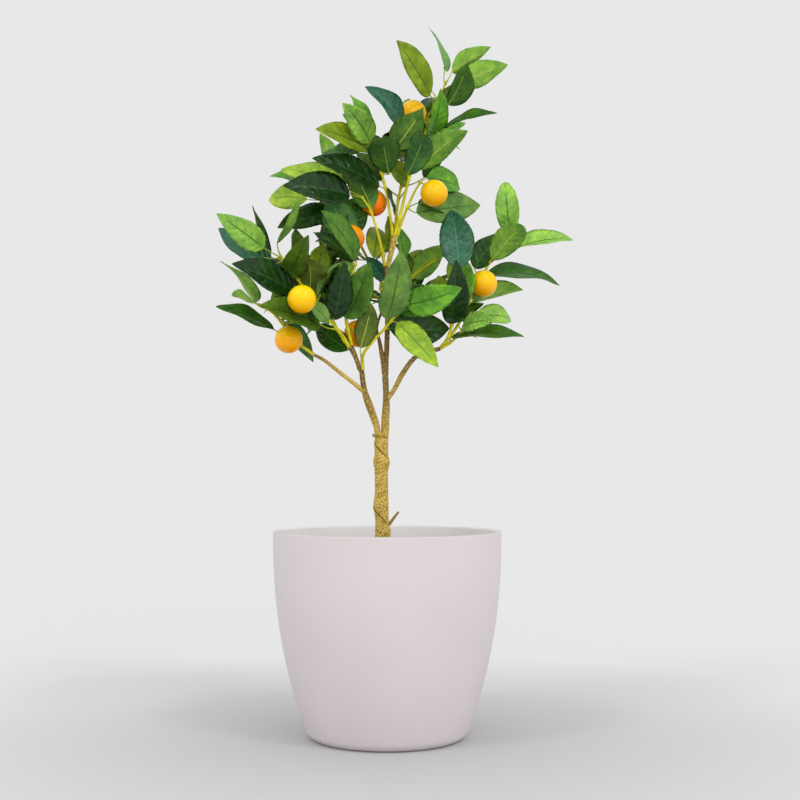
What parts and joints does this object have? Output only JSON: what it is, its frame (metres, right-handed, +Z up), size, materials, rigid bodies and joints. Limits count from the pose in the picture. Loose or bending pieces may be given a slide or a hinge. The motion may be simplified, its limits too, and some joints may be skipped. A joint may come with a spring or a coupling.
{
  "type": "potted artificial calamondin orange tree",
  "caption": "Small artificial orange tree: taped trunk with forked boughs, cloth-leaf foliage masses and round fruit, standing in a round tapered pot.",
  "frame": {"origin": "centre of the pot's flat underside, on the surface that it stands on", "axes": "+Z up, along the trunk; +X to the right and -Y to the front, where the tree shows its fullest side"},
  "size_m": [0.3909, 0.266, 0.795],
  "materials": {
    "pot": "matte off-white",
    "soil": "rough dark crumb",
    "trunk": "matte crinkled tape over the stem, golden tan",
    "boughs": "matte tape, brown tan",
    "foliage": "printed cloth leaves, satin",
    "stems": "moulded yellow-green plastic",
    "fruit": "satin orange with fine pores"
  },
  "bodies": {
    "root": {"pot": "pot", "potting_soil": "soil", "trunk": "trunk", "left_bough": "boughs", "right_bough": "boughs", "left_outer_bough": "boughs", "left_front_bough": "boughs", "right_outer_bough": "boughs", "left_prong": "boughs", "right_prong": "boughs", "back_bough": "boughs", "upper_bough": "boughs", "foliage_left_outer": "foliage", "foliage_left_front": "foliage", "foliage_left_high": "foliage", "foliage_left_middle": "foliage", "foliage_upper_left": "foliage", "foliage_crown_left": "foliage", "foliage_top": "foliage", "foliage_upper_right": "foliage", "foliage_centre": "foliage", "foliage_right_high": "foliage", "foliage_right": "foliage", "foliage_right_low": "foliage", "foliage_behind_top": "foliage", "foliage_behind_left": "foliage", "foliage_behind_right": "foliage", "foliage_behind_low": "foliage", "foliage_behind_middle": "foliage"}
  },
  "joints": []
}
